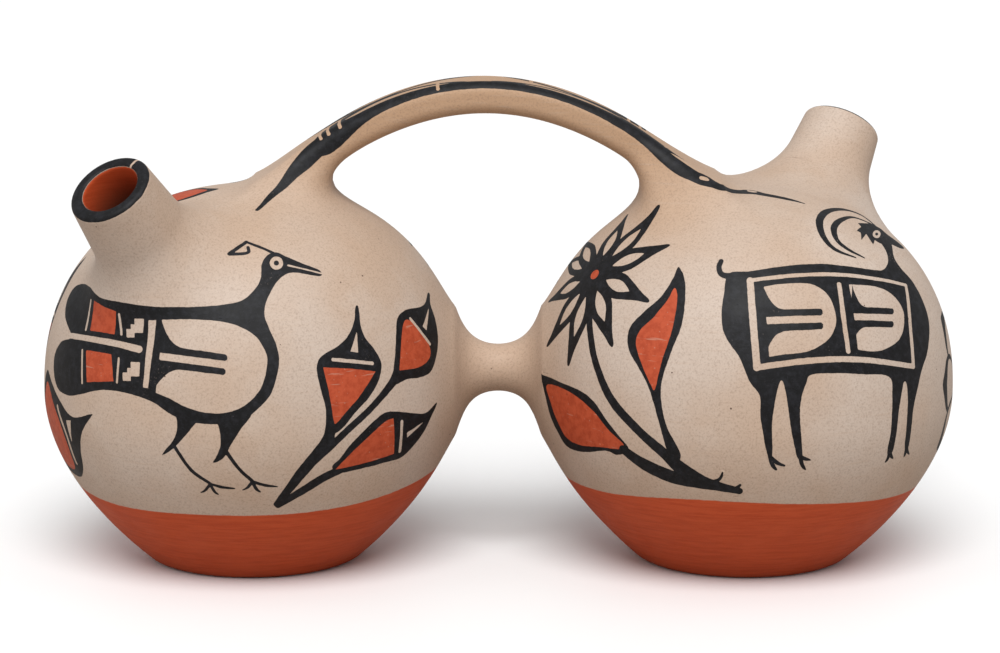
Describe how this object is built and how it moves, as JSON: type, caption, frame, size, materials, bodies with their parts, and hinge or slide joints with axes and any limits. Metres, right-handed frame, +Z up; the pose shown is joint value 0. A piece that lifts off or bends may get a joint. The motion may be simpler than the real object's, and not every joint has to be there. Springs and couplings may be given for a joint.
{
  "type": "double canteen",
  "caption": "Hand-built double canteen: round jars joined by a tube and an arched handle, each with a leaning spout",
  "frame": {"origin": "middle of the plane the two feet stand on, half way between the jars", "axes": "+X along the row of jars, +Y away from the pictured front, +Z up"},
  "size_m": [0.4, 0.184, 0.2125],
  "materials": {
    "cream_slip": "stone-polished cream slip",
    "red_slip": "stone-polished red slip"
  },
  "bodies": {
    "root": {"left_base": "red_slip", "left_wall": "cream_slip", "left_shoulder": "cream_slip", "left_spout": "cream_slip", "right_base": "red_slip", "right_wall": "cream_slip", "right_shoulder": "cream_slip", "right_spout": "cream_slip", "connecting_tube": "cream_slip", "handle": "cream_slip"}
  },
  "joints": []
}
